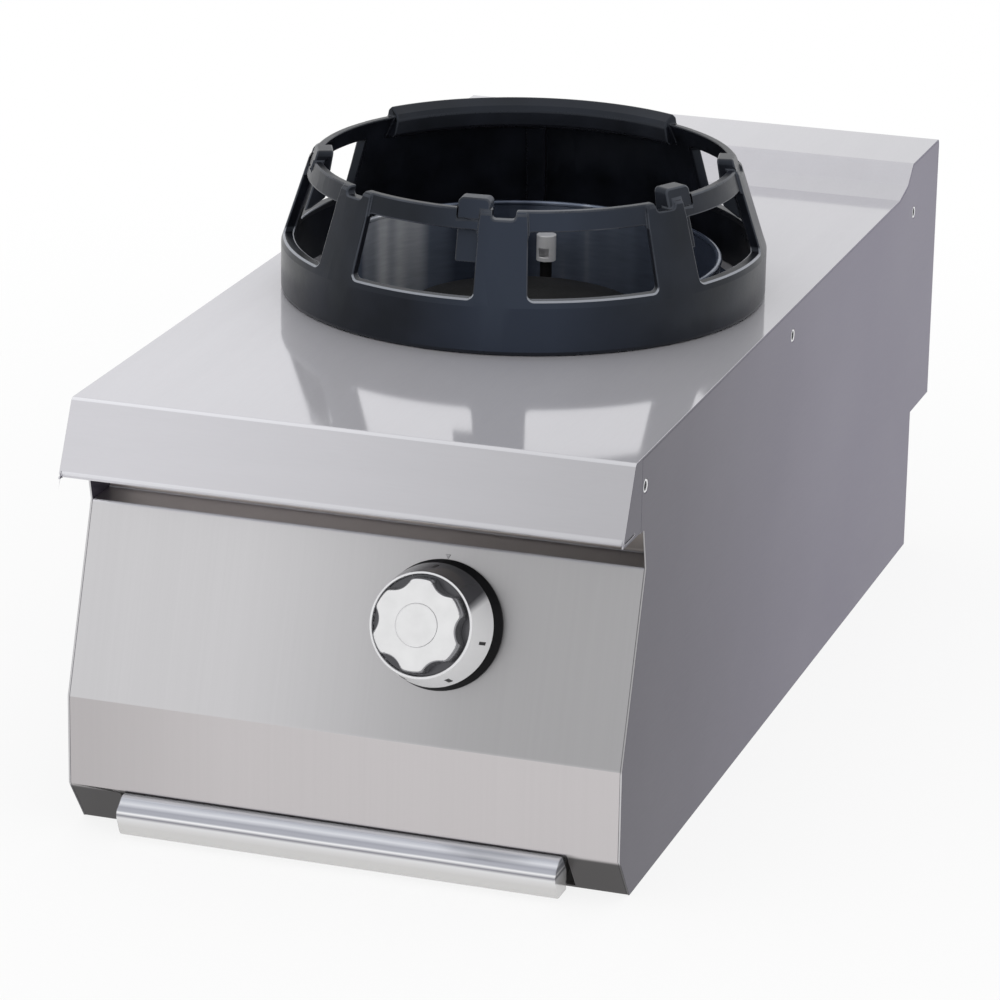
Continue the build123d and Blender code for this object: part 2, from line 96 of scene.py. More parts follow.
class Finish:
    # one material, with its Principled shader ready
    def __init__(self, name, **shader):
        self.material = bpy.data.materials.new(name)
        self.material.use_nodes = True
        self.tree = self.material.node_tree
        self.shader = self.tree.nodes["Principled BSDF"]
        for socket, value in shader.items():
            self.set(socket.replace("_", " "), value)

    def node(self, kind, settings=None, sockets=None, out=0):
        made = self.tree.nodes.new(kind)
        for key, value in (settings or {}).items():
            if key == "stops":
                ramp = made.color_ramp.elements
                while len(ramp) < len(value):
                    ramp.new(0.5)
                for stop, (place, level) in zip(ramp, value):
                    stop.position = place
                    stop.color = (level, level, level, 1) if isinstance(level, (int, float)) else (*level, 1)
            else:
                setattr(made, key, value)
        for key, value in (sockets or {}).items():
            self.feed(made.inputs[key], value)
        return Value(self, made.outputs[out])

    def feed(self, socket, value):
        if isinstance(value, Value):
            self.tree.links.new(value.socket, socket)
        elif socket.type == "RGBA" and len(value) == 3:
            socket.default_value = (*value, 1)
        else:
            socket.default_value = value

    def set(self, socket, value):
        self.feed(self.shader.inputs[socket], value)

    def place(self, stretch=(1, 1, 1), centre=(0, 0, 0), turn=(0, 0, 0)):
        # object coordinates, moved to a centre, then turned and stretched along the axes
        where = self.node("ShaderNodeTexCoord", None, None, "Object")
        moved = self.node("ShaderNodeVectorMath", {"operation": "SUBTRACT"}, {0: where, 1: centre})
        return self.node("ShaderNodeMapping", {"vector_type": "POINT"},
                         {"Vector": moved, "Rotation": turn, "Scale": stretch})

    def noise(self, where, scale, detail=2.0, rough=0.5):
        return self.node("ShaderNodeTexNoise", {"noise_dimensions": "3D"},
                         {"Vector": where, "Scale": scale, "Detail": detail, "Roughness": rough}, "Fac")

    def along(self, letter, start, end):
        # 0 before start and 1 past end, smooth between, along one axis in metres
        where = self.node("ShaderNodeTexCoord", None, None, "Object")
        far = self.node("ShaderNodeSeparateXYZ", None, {"Vector": where}, letter)
        return self.node("ShaderNodeMapRange", {"interpolation_type": "SMOOTHSTEP"},
                         {"Value": far, "From Min": start, "From Max": end})

    def ramp(self, factor, *stops):
        return self.node("ShaderNodeValToRGB", {"stops": stops}, {"Fac": factor})

    def blend(self, factor, first, second, how="MIX"):
        return self.node("ShaderNodeMix", {"data_type": "RGBA", "blend_type": how},
                         {0: factor, 6: first, 7: second}, 2)

    def bump(self, height, strength, distance, normal=None):
        sockets = {"Height": height, "Strength": strength, "Distance": distance}
        if normal is not None:
            sockets["Normal"] = normal
        return self.node("ShaderNodeBump", None, sockets)


def tone(red, green, blue):
    # a colour as it is read off a screen, 0 to 255, in linear light
    return tuple(c / 12.92 if c <= 0.04045 else ((c + 0.055) / 1.055) ** 2.4
                 for c in (red / 255, green / 255, blue / 255))


# every steel starts from plainSteel. grain: brushing lines to the metre along x, y and z; fade: the axis
# along which painted shade darkens the sheet, to far of its brightness, above a height; then the sheet's
# brightness near the floor, where shade is painted too
plainSteel = {
    "metal": 1.0, "gloss": 0.5, "rough": 0.24, "lines": 0.05, "cloud": 0.05, "lineRough": 0.06,
    "bump": 0.03, "bumpDepth": 0.00004, "bands": 0.07, "clouds": 5.0, "mix": (0.45, 0.35, 0.2),
    "above": -0.1, "blur": 0.002, "toe": 1.0, "toeFrom": 0.034, "toeTo": 0.030,
}
steels = {
    # painted shade: the worktop darkens towards the right
    "worktop": {
        "colour": tone(212, 211, 217), "metal": 0.30, "rough": 0.03, "grain": (900, 50, 900), "cloud": 0.03,
        "bump": 0.05, "fade": ("X", -0.2, 0.2), "far": 0.86,
    },
    # a copy of the worktop steel with its own grain, and stronger painted shade towards the right
    "fascia": {
        "colour": tone(211, 210, 215), "metal": 0.30, "rough": 0.08, "grain": (50, 900, 900), "cloud": 0.03,
        "lines": 0.04, "fade": ("X", -0.2, 0.2), "far": 0.74,
    },
    # painted highlight on the folds: a lighter copy of the fascia steel
    "fold": {
        "colour": tone(230, 230, 235), "metal": 0.30, "rough": 0.10, "grain": (50, 900, 900), "cloud": 0.03,
        "lines": 0.04, "fade": ("X", -0.2, 0.2), "far": 0.76,
    },
    # toned to the look of the shaded recess under the fascia: painted shade, darker towards the right
    "recess": {
        "colour": tone(196, 188, 183), "metal": 0.50, "rough": 0.30, "grain": (420, 3, 3),
        "fade": ("X", 0.02, 0.20), "far": 0.60,
    },
    # painted shade: the panel darkens towards the right above the skirt, and near the floor
    "panel": {
        "colour": tone(199, 198, 200), "grain": (420, 3, 3), "fade": ("X", -0.10, 0.12), "far": 0.65,
        "above": 0.098, "toe": 0.24,
    },
    # a warmer copy of the panel steel, with painted shade towards the left and near the floor
    "skirt": {
        "colour": tone(201, 197, 198), "grain": (420, 3, 3), "lines": 0.04, "fade": ("X", -0.06, -0.20),
        "far": 0.86, "toe": 0.13,
    },
    "pan": {
        "colour": tone(190, 190, 193), "rough": 0.28, "grain": (3, 420, 420), "fade": ("X", -0.2, 0.2),
        "far": 1.0,
    },
    # a darker, purple-grey copy of the same steel for the sides: painted shade, darker still towards the
    # front
    "side": {
        "colour": tone(106, 101, 121), "metal": 0.40, "gloss": 0.2, "rough": 0.26, "grain": (900, 40, 900),
        "cloud": 0.08, "bump": 0.10, "fade": ("Y", 0.25, -0.46), "far": 0.40,
    },
}


def steelFinish(name, look):
    # rolled stainless sheet: fine lines along the sheet, broad bands and slow cloudiness, under painted shade
    look = {**plainSteel, **look}
    f = Finish(name + "Steel", Metallic=look["metal"], Specular_IOR_Level=look["gloss"])
    lines = f.noise(f.place(look["grain"]), 1.0, 3.0, 0.65)
    bands = f.noise(f.place(tuple(g * look["bands"] for g in look["grain"])), 1.0, 2.0)
    cloud = f.noise(f.place(), look["clouds"], 3.0)
    fine, broad, slow = look["mix"]
    shade = f.ramp(lines * fine + bands * broad + cloud * slow, (0.32, 1 - look["lines"]), (0.66, 1.0))
    # painted shade: darker along one axis above a height, and darker near the floor
    paintedShade = f.along(*look["fade"]) * f.along("Z", look["above"] - look["blur"], look["above"] + look["blur"])
    fade = f.ramp(paintedShade, (0.0, 1.0), (1.0, look["far"]))
    toe = f.ramp(f.along("Z", look["toeFrom"], look["toeTo"]), (0.0, 1.0), (1.0, look["toe"]))
    lit = f.blend(1.0, f.blend(1.0, look["colour"], shade, "MULTIPLY"), fade, "MULTIPLY")
    f.set("Base Color", f.blend(1.0, lit, toe, "MULTIPLY"))
    f.set("Roughness", lines * look["lineRough"] + cloud * look["cloud"] + look["rough"])
    f.set("Normal", f.bump(lines, look["bump"], look["bumpDepth"]))
    return f.material


zinc = {
    "metal": 0.9, "rough": 0.34, "flakes": 90.0, "dark": tone(163, 166, 169), "light": tone(183, 186, 189),
}


def zincFinish():
    # spangled zinc sheet
    f = Finish("zincSheet", Metallic=zinc["metal"])
    flakes = f.node("ShaderNodeTexVoronoi", {"feature": "F1"}, {"Vector": f.place(), "Scale": zinc["flakes"]},
                    "Color")
    grey = f.node("ShaderNodeSeparateXYZ", None, {"Vector": flakes}, 0)
    f.set("Base Color", f.ramp(grey, (0.2, zinc["dark"]), (0.9, zinc["light"])))
    f.set("Roughness", grey * 0.15 + zinc["rough"])
    return f.material


# enamel on the ring's faces, with painted light on its front right of the middle, and on its edges, which
# carry a painted highlight; over the ring's foot: where the edges stop being plain, where the brighter
# painted highlight on the window sills is, and up to where the edges at the back are plain
enamels = {
    "enamel": {
        "dark": tone(12, 13, 17), "light": tone(25, 27, 34), "gloss": 0.27, "rough": 0.22, "grit": 420.0,
        "waves": 26.0, "lit": tone(42, 48, 60), "middle": 0.02,
        "across": ((0.38, 0.0), (0.62, 1.0), (0.80, 1.0), (0.98, 0.0)),
    },
    "enamelEdge": {
        "dark": tone(34, 36, 42), "light": tone(68, 71, 78), "gloss": 0.32, "rough": 0.18, "grit": 420.0,
        "waves": 30.0, "foot": 0.006, "sill": tone(150, 153, 160), "sillFrom": 0.036, "sillTo": 0.042,
        "back": 0.112, "behind": 0.04, "plain": tone(21, 22, 27), "blur": 0.004,
    },
}
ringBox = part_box("wok_ring")
ringFoot = ringBox[0][2]
ringMiddle = (ringBox[0][1] + ringBox[1][1]) / 2


def enamelFinish(name, enamel):
    # satin black enamel over a sand casting, with painted light and painted highlights
    f = Finish(name, Specular_IOR_Level=enamel["gloss"], Specular_Tint=(0.74, 0.84, 1.0, 1.0))
    grit = f.noise(f.place(), enamel["grit"], 3.0, 0.6)
    waves = f.noise(f.place(), enamel["waves"], 2.0)
    coat = f.ramp(waves, (0.35, enamel["dark"]), (0.7, enamel["light"]))
    # painted light on the front, right of the middle
    if "lit" in enamel:
        across = f.ramp(f.along("X", ringBox[0][0], ringBox[1][0]), *enamel["across"])
        front = f.along("Y", ringMiddle + enamel["middle"], ringMiddle - enamel["middle"])
        coat = f.blend(across * front, coat, enamel["lit"])
    # painted highlight on the edges: brightest on the window sills, left out at the foot and at the back
    if "sill" in enamel:
        foot, low, high, back = (ringFoot + enamel[key] for key in ("foot", "sillFrom", "sillTo", "back"))
        blur = enamel["blur"]
        behind = f.along("Y", ringMiddle, ringMiddle + enamel["behind"]) * f.along("Z", back, back - blur)
        coat = f.blend(f.along("Z", foot, foot + blur), enamel["plain"], coat)
        sills = f.along("Z", low - blur / 4, low) - f.along("Z", high, high + blur / 2)
        coat = f.blend(sills, coat, enamel["sill"])
        coat = f.blend(behind, coat, enamel["plain"])
    f.set("Base Color", coat)
    f.set("Roughness", waves * 0.12 + grit * 0.08 + enamel["rough"])
    f.set("Normal", f.bump(grit, 0.15, 0.0003, f.bump(waves, 0.3, 0.0015)))
    return f.material


iron = {
    "gloss": 0.15, "rough": 0.5, "grit": 500.0, "patches": 40.0, "dark": tone(11, 11, 12),
    "crust": tone(20, 20, 21), "worn": tone(32, 32, 33),
}


def ironFinish():
    # burner casting, blackened by heat
    f = Finish("burnerIron", Specular_IOR_Level=iron["gloss"])
    grit = f.noise(f.place(), iron["grit"], 4.0, 0.65)
    patches = f.noise(f.place(), iron["patches"], 3.0)
    crust = f.ramp(patches, (0.45, iron["dark"]), (0.72, iron["crust"]))
    f.set("Base Color", f.blend(f.ramp(grit, (0.3, 0.0), (0.8, 0.4)), crust, iron["worn"]))
    f.set("Roughness", grit * 0.25 + iron["rough"])
    f.set("Normal", f.bump(grit, 0.35, 0.0004))
    return f.material


bowl = {
    "metal": 0.5, "rough": 0.2, "streaks": (15, 15, 0.6), "rings": (60, 60, 400),
    "blued": ((0.42, tone(70, 78, 95)), (0.53, tone(118, 127, 145)), (0.60, tone(236, 239, 245))),
}


def bowlFinish():
    # pressed steel inside the ring, tinted blue, with painted reflections in upright light and dark stripes
    # and faint drawing rings
    f = Finish("bowlSteel", Metallic=bowl["metal"])
    streaks = f.noise(f.place(bowl["streaks"]), 1.0, 2.0)
    rings = f.noise(f.place(bowl["rings"]), 1.0, 3.0)
    blued = f.ramp(streaks, *bowl["blued"])
    f.set("Base Color", f.blend(1.0, blued, f.ramp(rings, (0.3, 0.86), (0.7, 1.0)), "MULTIPLY"))
    f.set("Roughness", rings * 0.08 + bowl["rough"])
    return f.material


smearDull = 0.93
smearRough = 0.06
# polished, turned and plated pieces: name, colour, roughness, smears to the metre and metal
brights = {
    "chrome": ("dialChrome", tone(236, 236, 238), 0.10, 60.0, 0.6),
    "silver": ("gripSilver", tone(232, 232, 233), 0.20, 90.0, 0.5),
    "dish": ("gripDish", tone(222, 222, 223), 0.24, 90.0, 0.5),
    # painted shade on the grip's flanks, a darker copy of the grip's silver
    "flank": ("gripFlank", tone(150, 150, 153), 0.16, 90.0, 0.8),
    "deck": ("dialDeck", tone(84, 84, 87), 0.18, 90.0, 0.8),
    "brass": ("turnedBrass", tone(190, 160, 90), 0.22, 80.0, 1.0),
    "copper": ("softCopper", tone(180, 110, 78), 0.3, 60.0, 1.0),
    "pipe": ("pipeSteel", tone(166, 168, 172), 0.3, 50.0, 1.0),
    "hood": ("hoodPlating", tone(240, 240, 242), 0.2, 200.0, 0.3),
    "bright": ("insertPlating", tone(232, 232, 234), 0.18, 300.0, 0.8),
}


def brightFinish(name, colour, rough, smears, metal):
    # bright surface with faint wipe marks
    f = Finish(name, Metallic=metal)
    smear = f.noise(f.place(), smears, 3.0)
    dulled = tuple(c * smearDull for c in colour)
    f.set("Base Color", f.ramp(smear, (0.3, dulled), (0.7, colour)))
    f.set("Roughness", smear * smearRough + rough)
    return f.material


# the tray handle's rolled trim, with painted reflections: bands, one over the other, between two heights over
# the floor
trim = {
    "metal": 0.5, "rough": 0.12, "stretch": (14, 60, 60), "smears": 1.0, "wobble": 0.03,
    "from": 0.0, "to": 0.036,
    "bands": ((0.30, tone(216, 215, 214)), (0.56, tone(232, 232, 234)), (0.64, tone(136, 136, 144)),
              (0.71, tone(246, 246, 248)), (0.75, tone(176, 178, 186)), (0.83, tone(158, 160, 169)),
              (0.89, tone(212, 214, 220)), (0.94, tone(176, 179, 188)), (0.99, tone(240, 240, 243))),
}
# the dial's skirt, with painted reflection: bands, light at the bottom and dark at the top, between two
# heights over the knob's foot
dialSkirt = {
    "metal": 0.1, "rough": 0.12, "stretch": (1, 1, 1), "smears": 60.0, "wobble": 0.1,
    "from": 0.023, "to": 0.034,
    "bands": ((0.1, tone(242, 242, 243)), (0.45, tone(150, 150, 153)), (0.8, tone(64, 64, 67))),
}


def bandedFinish(name, look, foot):
    # polished trim with painted reflections as bands, one over the other from its foot up, with faint smears
    f = Finish(name, Metallic=look["metal"])
    smear = f.noise(f.place(look["stretch"]), look["smears"], 3.0)
    height = f.along("Z", foot + look["from"], foot + look["to"]) + smear * look["wobble"]
    f.set("Base Color", f.ramp(height, *look["bands"]))
    f.set("Roughness", smear * smearRough + look["rough"])
    return f.material


collar = {
    "gloss": 0.12, "rough": 0.35, "grain": 1400.0, "dark": tone(14, 14, 15), "light": tone(24, 24, 26),
}


def blackFinish():
    # fine-grained black plastic
    f = Finish("collarBlack", Specular_IOR_Level=collar["gloss"])
    grain = f.noise(f.place(), collar["grain"], 2.0)
    f.set("Base Color", f.ramp(grain, (0.3, collar["dark"]), (0.7, collar["light"])))
    f.set("Roughness", grain * 0.15 + collar["rough"])
    f.set("Normal", f.bump(grain, 0.2, 0.0001))
    return f.material


inkWear = {"scale": 900.0, "faded": 0.8, "rough": 0.35}
inks = {
    "ink": ("dialInk", tone(34, 34, 36)),
    "greyInk": ("borderInk", tone(140, 140, 143)),
    "paleInk": ("indexInk", tone(224, 224, 226)),
}


def inkFinish(name, colour):
    # printed or filled mark, slightly uneven
    f = Finish(name)
    wear = f.noise(f.place(), inkWear["scale"], 3.0)
    faded = tuple(c * inkWear["faded"] for c in colour)
    f.set("Base Color", f.ramp(wear, (0.3, faded), (0.7, colour)))
    f.set("Roughness", wear * 0.2 + inkWear["rough"])
    return f.material


finishes = {name: steelFinish(name, look) for name, look in steels.items()}
finishes.update({name: enamelFinish(name, enamel) for name, enamel in enamels.items()})
finishes.update({name: brightFinish(*look) for name, look in brights.items()})
finishes.update({name: inkFinish(*look) for name, look in inks.items()})
finishes.update({
    "zinc": zincFinish(),
    "iron": ironFinish(),
    "bowl": bowlFinish(),
    "black": blackFinish(),
    "polished": bandedFinish("handlePolish", trim, 0),
    "dialSkirt": bandedFinish("dialSkirt", dialSkirt, turnJoint["pos_m"][2]),
})
nodesWith = {
    "worktop": ("worktop",),
    "side": ("side_panel_right", "side_panel_left"),
    "panel": ("control_panel",),
    "zinc": ("back_panel", "base_plate", "support_beam_front", "support_beam_rear", "tray_rail_right",
             "tray_rail_left", "pilot_bracket"),
    "bowl": ("burner_bowl",),
    "iron": ("bowl_base", "burner_pot", "mixing_tube", "burner_crown", "burner_cap"),
    "hood": ("pilot_burner",),
    "pipe": ("joining_nuts_right", "joining_nuts_left", "back_screws", "thermocouple", "valve_spindle",
             "supply_pipe", "feed_pipe"),
    "brass": ("gas_valve", "valve_plug", "gas_inlet", "inlet_nut", "injector_holder", "injector"),
    "copper": ("pilot_pipe", "thermocouple_lead"),
    "black": ("knob_collar",),
    "chrome": ("knob_dial",),
    "silver": ("knob_handle",),
    "pan": ("tray_pan",),
    "polished": ("tray_handle",),
    "enamel": ("wok_ring",),
}
nodeFinish = {name: finish for finish, names in nodesWith.items() for name in names}
for name, finish in nodeFinish.items():
    slots = nodes[name].data.materials
    slots.clear()
    slots.append(finishes[finish])
print("finishes made:", len(finishes))


# pieces whose edges catch the light: width of the softened edge in metres, steps across it, the least bend
# in degrees that makes an edge, and the finish of the edge where it has its own, a painted highlight on the
# ring
sheetEdge = {"width": 0.0004, "steps": 2, "from": 40}
softEdges = {
    "wok_ring": {"width": 0.0012, "steps": 3, "from": 28, "edge": "enamelEdge"},
    "burner_bowl": {"width": 0.0003, "steps": 1, "from": 40},
    "pilot_burner": {"width": 0.0002, "steps": 1, "from": 40},
    "worktop": sheetEdge,
    "side_panel_right": sheetEdge,
    "side_panel_left": sheetEdge,
    "control_panel": sheetEdge,
    "burner_cap": {"width": 0.0008, "steps": 2, "from": 30},
    "burner_crown": {"width": 0.0006, "steps": 2, "from": 30},
    "knob_collar": {"width": 0.0005, "steps": 2, "from": 30},
    "knob_dial": {"width": 0.0003, "steps": 2, "from": 30},
    "knob_handle": {"width": 0.0006, "steps": 3, "from": 25},
    "tray_handle": {"width": 0.0007, "steps": 2, "from": 40},
    "tray_pan": {"width": 0.0003, "steps": 2, "from": 40},
}
# how a node's loose triangles are merged: distance in metres, and the bend in degrees that counts as flat
merging = {"within": 0.00001, "flat": 1.0}
crease = 32      # degrees, on the pieces that this script adds


def keep(piece, body):
    scene.collection.objects.link(piece)
    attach(piece, body)


def finishPiece(name, shape, finish, body):
    # a new piece from its bmesh, with normals outwards and creases kept
    bmesh.ops.recalc_face_normals(shape, faces=shape.faces)
    mesh = bpy.data.meshes.new(name)
    shape.to_mesh(mesh)
    shape.free()
    mesh.shade_smooth()
    mesh.set_sharp_from_angle(angle=radians(crease))
    mesh.materials.append(finishes[finish])
    keep(bpy.data.objects.new(name, mesh), body)


def softCopy(name, edge):
    # a merged copy of a CAD node that stands in for it, with its sharp edges rounded
    shape = bmesh.new()
    shape.from_mesh(nodes[name].data)
    bmesh.ops.remove_doubles(shape, verts=shape.verts, dist=merging["within"])
    bmesh.ops.dissolve_limit(shape, angle_limit=radians(merging["flat"]), verts=shape.verts,
                             edges=shape.edges)
    mesh = bpy.data.meshes.new(name + "Soft")
    shape.to_mesh(mesh)
    shape.free()
    mesh.shade_smooth()
    mesh.set_sharp_from_angle(angle=radians(edge["from"]))
    mesh.materials.clear()
    mesh.materials.append(finishes[nodeFinish[name]])
    if "edge" in edge:
        mesh.materials.append(finishes[edge["edge"]])
    piece = bpy.data.objects.new(name + "Soft", mesh)
    keep(piece, bodyOf[name])
    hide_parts(name)
    rounding = piece.modifiers.new("edges", "BEVEL")
    rounding.width = edge["width"]
    rounding.segments = edge["steps"]
    rounding.limit_method = "ANGLE"
    rounding.angle_limit = radians(edge["from"])
    rounding.use_clamp_overlap = False
    rounding.material = 1 if "edge" in edge else -1
    even = piece.modifiers.new("shading", "WEIGHTED_NORMAL")
    even.keep_sharp = True


for name, edge in softEdges.items():
    softCopy(name, edge)
print("edges softened:", len(softEdges))


def dress(name, finish, chosen):
    # a second finish on the faces of a piece that chosen(face) picks
    mesh = bpy.data.objects[name].data
    mesh.materials.append(finishes[finish])
    for face in mesh.polygons:
        if chosen(face):
            face.material_index = len(mesh.materials) - 1


# where the folded sheets change finish: how far a face leans to the front (y) or up (z), places in metres
worktopFaces = {"fascia": (-0.86, 0.4), "capX": 0.1975, "capLean": 0.9, "upper": (-0.80, -0.25, 0.5),
                "lower": (-0.5, -0.3, 0.38)}
panelFaces = {"fold": (-0.88, -0.3, 0.36), "recess": (-0.3, 0.2285), "skirtTop": 0.098}
flangeLean = -0.5


def isFascia(face):
    lean, rise = worktopFaces["fascia"]
    return face.normal.y < lean and face.normal.z > rise


def isEndCap(face):
    return abs(face.normal.x) > worktopFaces["capLean"] and abs(face.center.x) > worktopFaces["capX"]


def isUpperFold(face):
    start, end, rise = worktopFaces["upper"]
    return start < face.normal.y < end and face.normal.z > rise and face.center.y < 0


def isLowerFold(face):
    lean, low, high = worktopFaces["lower"]
    return face.normal.y < lean and low < face.normal.z < high


def isPanelFold(face):
    start, end, rise = panelFaces["fold"]
    return start < face.normal.y < end and face.normal.z > rise


def isRecess(face):
    lean, low = panelFaces["recess"]
    return face.normal.y < lean and face.center.z > low


# the fascia and its end caps are part of the worktop; the fascia has stronger painted shade, and the caps
# show the side panels' grain and painted shade
dress("worktopSoft", "fascia", isFascia)
dress("worktopSoft", "side", isEndCap)
# folds with a painted highlight: over and under the fascia, and along the top of the control panel
dress("worktopSoft", "fold", isUpperFold)
dress("worktopSoft", "fold", isLowerFold)
dress("control_panelSoft", "fold", isPanelFold)
# painted shade in the recess under the fascia
dress("control_panelSoft", "recess", isRecess)
# the skirt's copy of the panel steel, with its painted shade
dress("control_panelSoft", "skirt", lambda face: face.center.z < panelFaces["skirtTop"])
# the side panels' front edges are bent flanges that match the control panel
for side in ("right", "left"):
    dress("side_panel_" + side + "Soft", "panel", lambda face: face.normal.y < flangeLean)


def frameOn(origin, out):
    # matrix of a local frame whose z points out and whose x stays level
    z = Vector(out).normalized()
    x = Vector((1, 0, 0)) if abs(z.x) < 0.9 else Vector((0, 1, 0))
    y = z.cross(x)
    return Matrix.Translation(origin) @ Matrix((x, y, z)).transposed().to_4x4()


def addStrip(shape, corners, turnFrom, turnBy, steps):
    # closed strip: a small face in the x-z plane, spun about z
    made = [shape.verts.new((r, 0, h)) for r, h in corners]
    face = shape.faces.new(made)
    bmesh.ops.rotate(shape, verts=made, cent=(0, 0, 0), matrix=Matrix.Rotation(radians(turnFrom), 3, "Z"))
    whole = turnBy == 360
    outline = [*face.edges, *face.verts] if whole else [face]
    if whole:
        bmesh.ops.delete(shape, geom=[face], context="FACES_ONLY")
    bmesh.ops.spin(shape, geom=outline, cent=(0, 0, 0), axis=(0, 0, 1), angle=radians(turnBy), steps=steps,
                   use_merge=whole)


knobFrame = frameOn(turnJoint["pos_m"], turnJoint["axis"])
knobOut = knobFrame.to_3x3() @ Vector((0, 0, 1))
fromPanel = knobFrame.inverted()
# faces of the grip and the dial: how far they face out of the panel, radii and heights over the panel
knobFaces = {"flankOut": 0.8, "flankR": 0.018, "dishOut": 0.9, "dishDeep": 0.0004, "deck": (0.0395, 0.0405),
             "skirtOut": 0.5, "skirtR": 0.036}
gripTop = max((fromPanel @ v.co).z for v in bpy.data.objects["knob_handleSoft"].data.vertices)
dishTop = gripTop - knobFaces["dishDeep"]
darkStemTop = 0.2985     # height on the pilot's stem


def facingOut(face):
    return face.normal.dot(knobOut)


def fromAxis(face):
    return (fromPanel @ face.center).xy.length


def overPanel(face):
    return (fromPanel @ face.center).z


# the grip's flanks are darker than the bright face by painted shade, the dial's sunk deck is darker too, and
# the grip's dish is a little duller
dress("knob_handleSoft", "flank",
      lambda face: facingOut(face) < knobFaces["flankOut"] and fromAxis(face) > knobFaces["flankR"])
dress("knob_handleSoft", "dish",
      lambda face: facingOut(face) > knobFaces["dishOut"] and overPanel(face) < dishTop)
dress("knob_dialSoft", "deck", lambda face: knobFaces["deck"][0] < overPanel(face) < knobFaces["deck"][1])
# painted reflection on the dial's skirt
dress("knob_dialSoft", "dialSkirt",
      lambda face: abs(facingOut(face)) < knobFaces["skirtOut"] and fromAxis(face) > knobFaces["skirtR"])
# the pilot's stem is dark iron below its bright hood
dress("pilot_burnerSoft", "iron", lambda face: face.center.z < darkStemTop)

# marks on the dial's skirt: angle round the knob, width in degrees; lower and upper edge from the panel
dial = {
    "marks": ((90, 4.0), (-11, 3.2), (-62, 4.6), (-110, 6.2)), "low": 0.0215, "high": 0.0300, "steps": 3,
    "baseR": 0.0420, "topR": 0.0364, "baseH": 0.014, "topH": 0.0405, "proud": 0.00012, "deep": 0.0004,
}


def coneR(height):
    share = (height - dial["baseH"]) / (dial["topH"] - dial["baseH"])
    return dial["baseR"] + (dial["topR"] - dial["baseR"]) * share


def addDialMarks():
    shape = bmesh.new()
    low, high, proud, deep = (dial[key] for key in ("low", "high", "proud", "deep"))
    corners = [(coneR(low) - deep, low), (coneR(low) + proud, low), (coneR(high) + proud, high),
               (coneR(high) - deep, high)]
    for angle, wide in dial["marks"]:
        addStrip(shape, corners, angle - wide / 2, wide, dial["steps"])
    bmesh.ops.transform(shape, matrix=knobFrame, verts=shape.verts)
    finishPiece("dialMarks", shape, "ink", "knob")


addDialMarks()

# pointer printed on the panel above the knob
index = {"reach": 0.0467, "size": 0.0015, "border": 0.0021, "thick": 0.00012, "turn": 60}


def addPointer(name, finish, size, lift):
    # flat triangle that points at the knob, lifted by a number of its own thicknesses
    shape = bmesh.new()
    bmesh.ops.create_cone(shape, cap_ends=True, segments=3, radius1=size, radius2=size, depth=index["thick"])
    turned = Matrix.Rotation(radians(index["turn"]), 3, "Z")
    bmesh.ops.rotate(shape, verts=shape.verts, cent=(0, 0, 0), matrix=turned)
    place = (0, index["reach"], index["thick"] * (0.5 + lift))
    bmesh.ops.translate(shape, verts=shape.verts, vec=place)
    bmesh.ops.transform(shape, matrix=knobFrame, verts=shape.verts)
    finishPiece(name, shape, finish, "housing")


addPointer("indexBorder", "greyInk", index["border"], 0.0)
addPointer("indexMark", "paleInk", index["size"], 1.0)

# flanged threads set into the side panels, for joining the range to its neighbours
inserts = {
    "inner": 0.0034, "outer": 0.0047, "from": 0.1986, "to": 0.1999, "edge": 0.0003, "bore": 0.0004,
    "steps": 32, "z": 0.288, "spacing": 0.371, "toRear": 0.451,
}


def addInserts():
    inner, outer, start, end = (inserts[key] for key in ("inner", "outer", "from", "to"))
    corners = [(inner, start), (outer, start), (outer, end - inserts["edge"]), (outer - inserts["edge"], end),
               (inner + inserts["bore"], end), (inner, end - inserts["bore"])]
    middle = cadBounds[1][1] - inserts["toRear"]
    shape = bmesh.new()
    for side in (-1, 1):
        for k in (-1, 0, 1):
            ring = bmesh.new()
            addStrip(ring, corners, 0, 360, inserts["steps"])
            place = frameOn((0, middle + k * inserts["spacing"], inserts["z"]), (side, 0, 0))
            bmesh.ops.transform(ring, matrix=place, verts=ring.verts)
            part = bpy.data.meshes.new("ring")
            ring.to_mesh(part)
            ring.free()
            shape.from_mesh(part)
            bpy.data.meshes.remove(part)
    finishPiece("insertFlanges", shape, "bright", "housing")


addInserts()

# pipe thread on the gas inlet
thread = {
    "pitch": 0.001814, "root": 0.0104, "crest": 0.0109, "flank": 0.45, "runOut": 0.0012,
    "turns": 10, "steps": 40,
}


def addInletThread():
    low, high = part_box("gas_inlet")
    shape = bmesh.new()
    half = thread["pitch"] * thread["flank"]
    corners = ((thread["root"], -half), (thread["crest"], 0), (thread["root"], half))
    profile = [shape.verts.new((r, 0, h)) for r, h in corners]
    edges = [shape.edges.new(pair) for pair in zip(profile, profile[1:])]
    rise = (0, 0, thread["pitch"] / thread["steps"])
    bmesh.ops.spin(shape, geom=[*profile, *edges], cent=(0, 0, 0), axis=(0, 0, 1), dvec=rise,
                   angle=2 * pi * thread["turns"], steps=thread["turns"] * thread["steps"])
    middle = [(a + b) / 2 for a, b in zip(low, high)]
    start = (middle[0], high[1] - thread["runOut"], middle[2])
    bmesh.ops.transform(shape, matrix=frameOn(start, (0, -1, 0)), verts=shape.verts)
    finishPiece("inletThread", shape, "brass", "housing")


addInletThread()
print("details added: dial marks, index, inserts, thread")


camera = {
    "place": (1.0151, -3.1597, 1.2548), "yaw": 18.214, "pitch": 18.650, "roll": 0.991, "lens": 167.22,
    "sensor": 36, "reach": 60,
}


